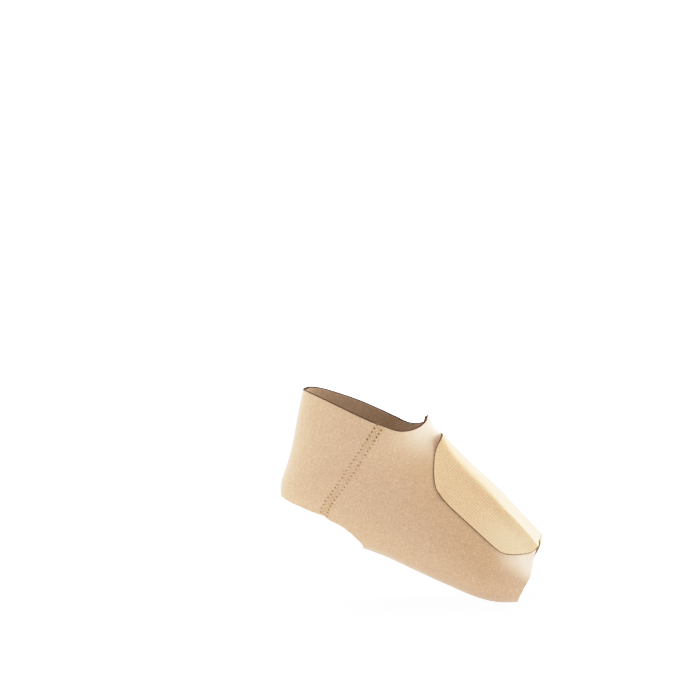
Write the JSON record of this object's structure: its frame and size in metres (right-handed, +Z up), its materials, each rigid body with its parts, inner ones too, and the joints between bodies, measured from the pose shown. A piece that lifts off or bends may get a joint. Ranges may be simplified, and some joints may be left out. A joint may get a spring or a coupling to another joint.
{
  "type": "foot compression band",
  "caption": "Open-heel, open-toe compression wrap for foot and ankle: foam laminate panel round the instep and sole, a strap round the heel and a ribbed closure tab across the instep.",
  "frame": {"origin": "on the inner face of the sole, under the arch, where the foot stands in the band", "axes": "+X to the toes, +Y to the inner side of the foot, +Z up the leg; the foot stands with its heel raised, so the sole slopes down to the toes"},
  "size_m": [0.1807, 0.0934, 0.1429],
  "materials": {
    "wrap_fabric": "napped beige foam laminate",
    "tab_fabric": "ribbed cream tape"
  },
  "bodies": {
    "root": {"foot_panel": "wrap_fabric", "heel_strap": "wrap_fabric", "closure_tab": "tab_fabric"}
  },
  "joints": []
}
